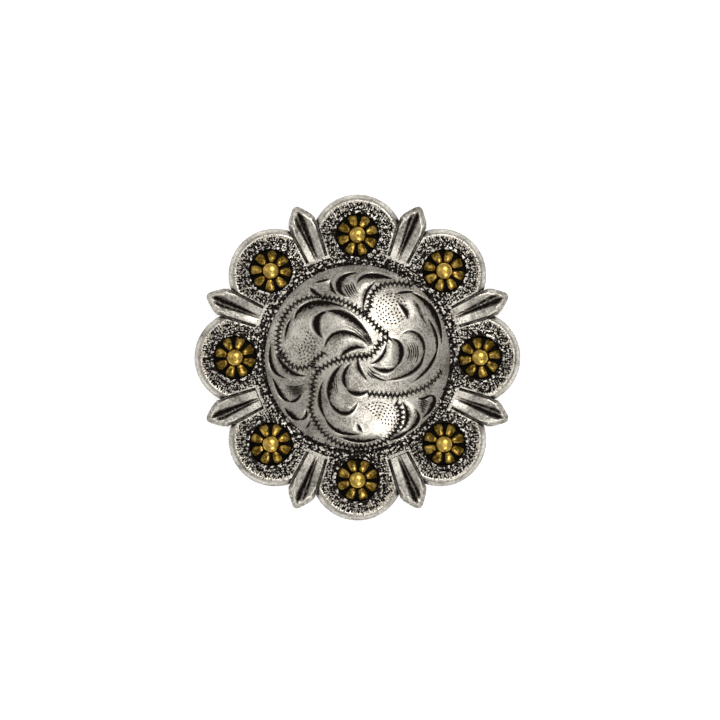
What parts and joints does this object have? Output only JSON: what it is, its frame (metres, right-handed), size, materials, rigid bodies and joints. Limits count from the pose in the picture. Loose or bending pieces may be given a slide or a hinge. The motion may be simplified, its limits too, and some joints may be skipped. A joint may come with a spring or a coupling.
{
  "type": "western berry concho",
  "caption": "Round scalloped concho with an engraved dome, gold berries in its lobes and a threaded post behind, screwed to leather as an ornament.",
  "frame": {"origin": "centre of the flat back, on the plane that the concho lies on", "axes": "+Z out of the face, along the axis of the dome and the post; +Y towards the lobe at the top of the picture"},
  "size_m": [0.038, 0.038, 0.0052],
  "materials": {
    "antiqued_silver": "cast zinc, silver plated and antiqued: worn bright on the high places, near black in the cuts",
    "antiqued_gold": "gold plated and antiqued, dark brown between the petals",
    "post_steel": "plain turned, nickel plated"
  },
  "bodies": {
    "root": {"concho_body": "antiqued_silver", "berry_1": "antiqued_gold", "berry_2": "antiqued_gold", "berry_3": "antiqued_gold", "berry_4": "antiqued_gold", "berry_5": "antiqued_gold", "berry_6": "antiqued_gold", "berry_7": "antiqued_gold", "berry_8": "antiqued_gold", "screw_post": "post_steel"}
  },
  "joints": []
}
